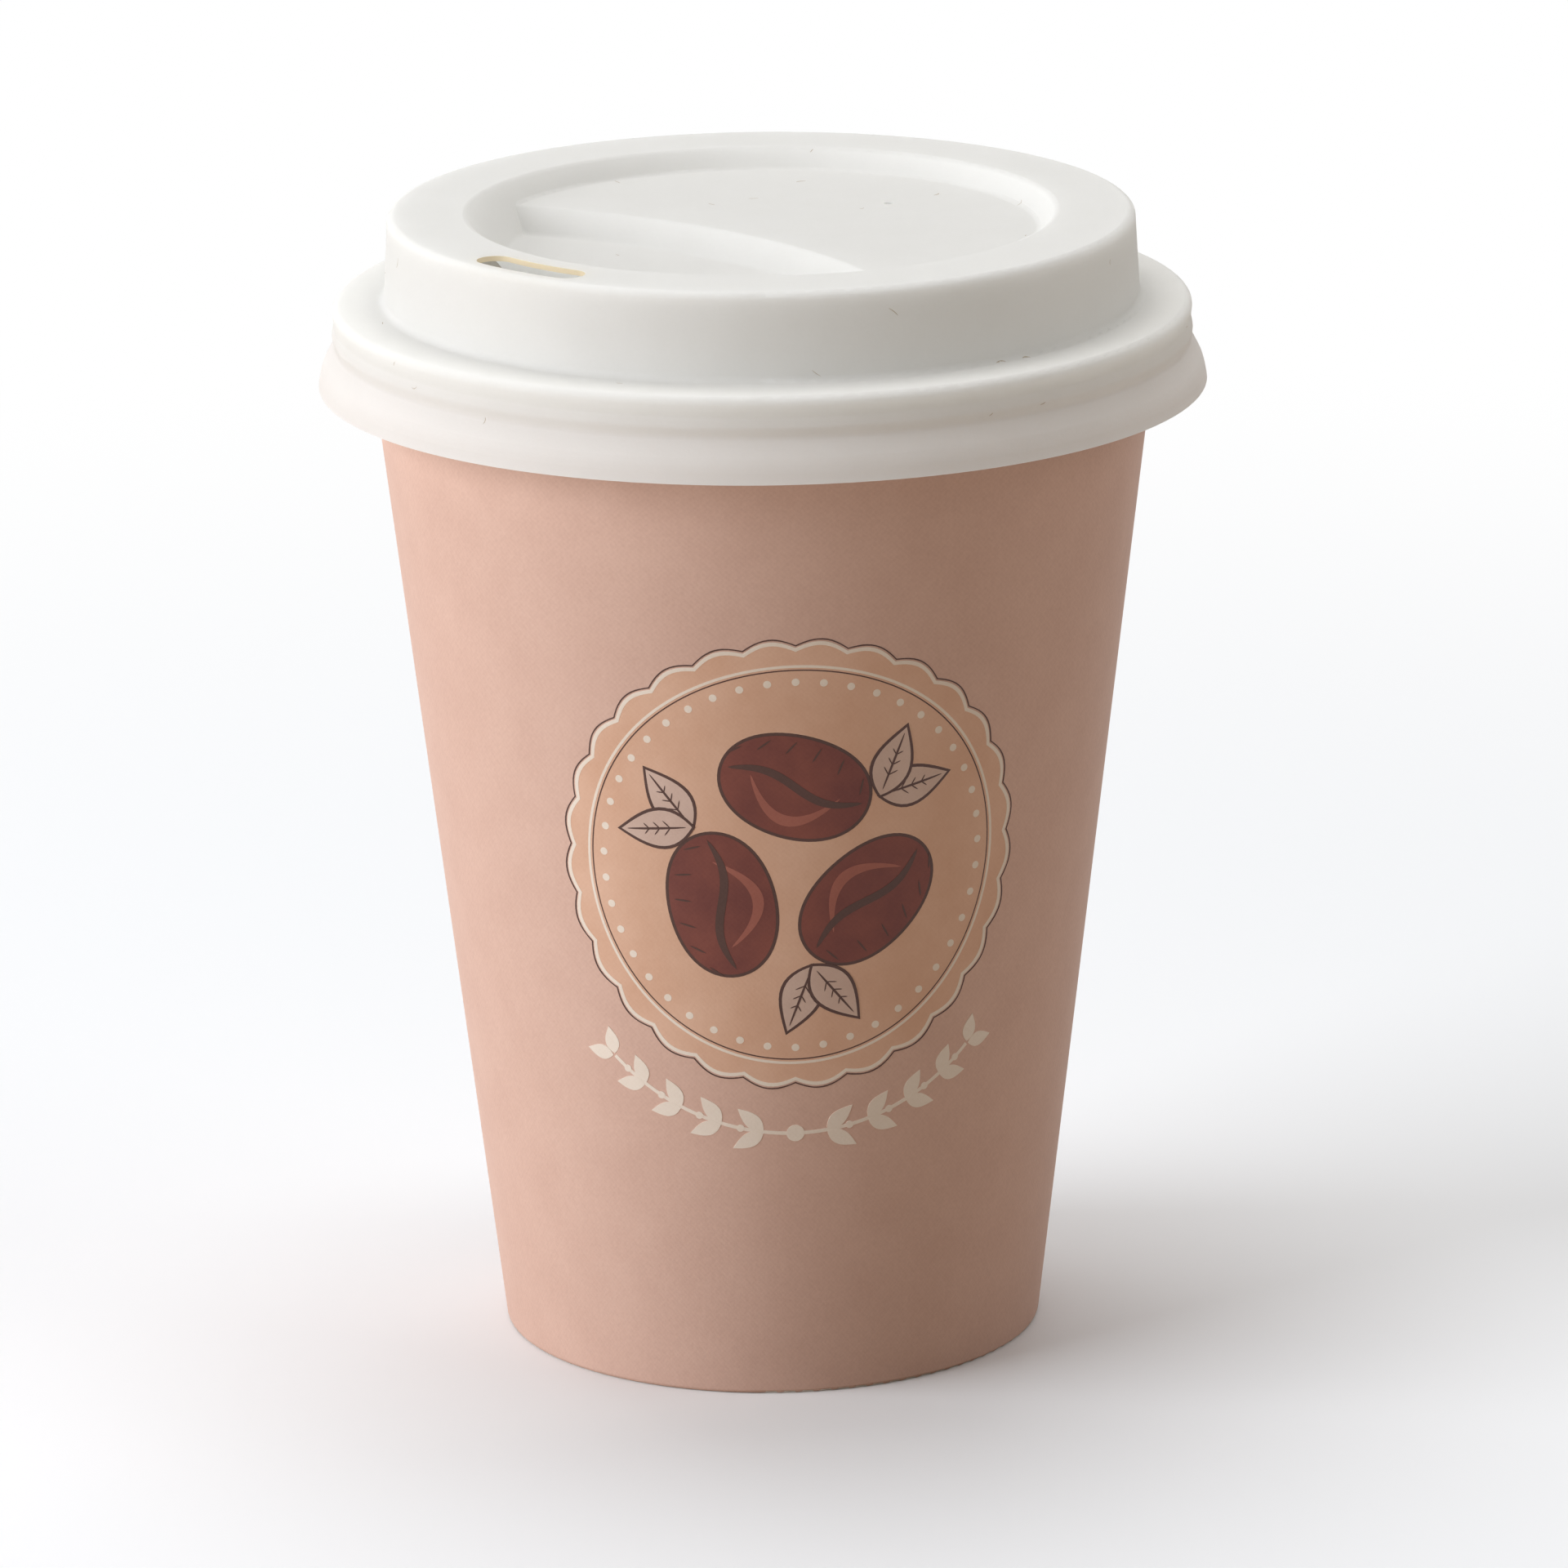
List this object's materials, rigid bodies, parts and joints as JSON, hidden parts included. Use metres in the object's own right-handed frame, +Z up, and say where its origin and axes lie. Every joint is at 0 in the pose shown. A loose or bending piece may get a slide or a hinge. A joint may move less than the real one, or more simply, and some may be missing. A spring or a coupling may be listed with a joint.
{
  "type": "paper coffee cup",
  "caption": "Tapered paper cup for hot drinks with a rolled rim and a recessed foot, closed by a press-on moulded fibre lid with a sip hole and a stepped, sunk top.",
  "frame": {"origin": "on the table, in the middle of the cup's foot", "axes": "+Z up along the cup's axis; -Y is the side of the badge, the lid drinks at the front left, and +Y is the side seam"},
  "size_m": [0.0946, 0.0946, 0.1228],
  "materials": {
    "printed_board": "matte print",
    "coated_board": "satin coating",
    "moulded_fibre": "matte"
  },
  "bodies": {
    "cup": {"cup_sidewall": "printed_board", "cup_bottom": "coated_board"},
    "lid": {"lid": "moulded_fibre"}
  },
  "joints": [
    {"name": "lid_lift", "type": "slide", "parent": "cup", "child": "lid", "axis": [0, 0, 1], "range_m": [0, 0.04]}
  ]
}
